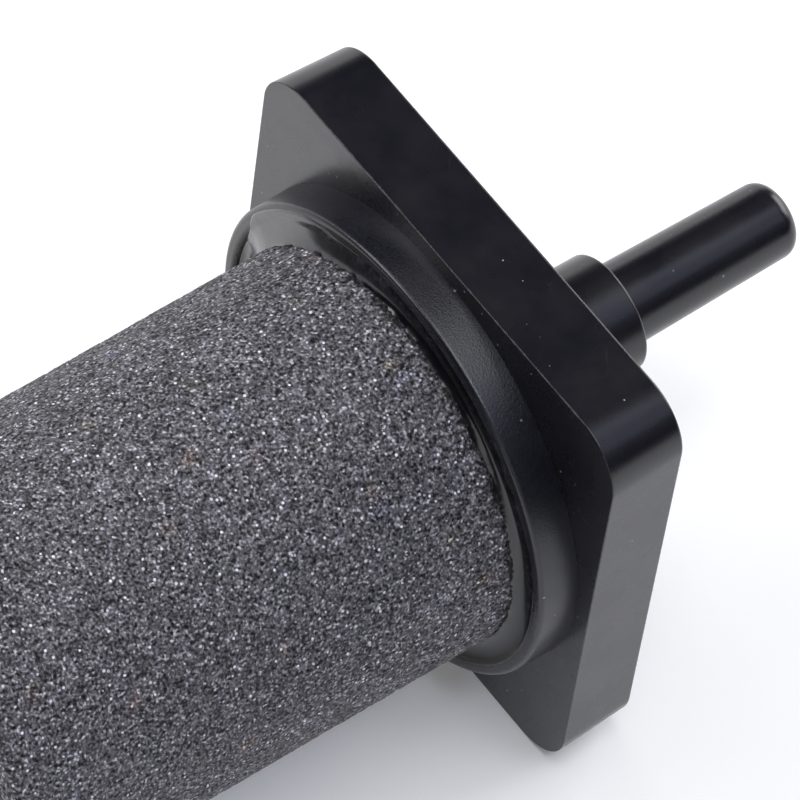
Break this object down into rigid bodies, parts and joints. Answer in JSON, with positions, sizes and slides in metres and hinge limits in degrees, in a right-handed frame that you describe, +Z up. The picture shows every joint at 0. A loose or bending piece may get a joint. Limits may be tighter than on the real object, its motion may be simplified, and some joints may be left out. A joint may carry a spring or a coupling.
{
  "type": "air stone",
  "caption": "Cylindrical porous air stone glued into a square moulded base with a collar, a boss and a straight hose spigot.",
  "frame": {"origin": "under the middle of the whole part's box, on the surface that the plate's lower side lies on", "axes": "+X along the part's own axis from the stone to the hose spigot, +Z up, square to the plate's lower side"},
  "size_m": [0.0732, 0.0384, 0.0384],
  "materials": {
    "black_plastic": "moulded, semi-gloss",
    "bonded_grit": "porous, fine bonded mineral grit",
    "black_glue": "cast, glossy"
  },
  "bodies": {
    "root": {"base_moulding": "black_plastic", "porous_stone": "bonded_grit", "adhesive": "black_glue"}
  },
  "joints": []
}
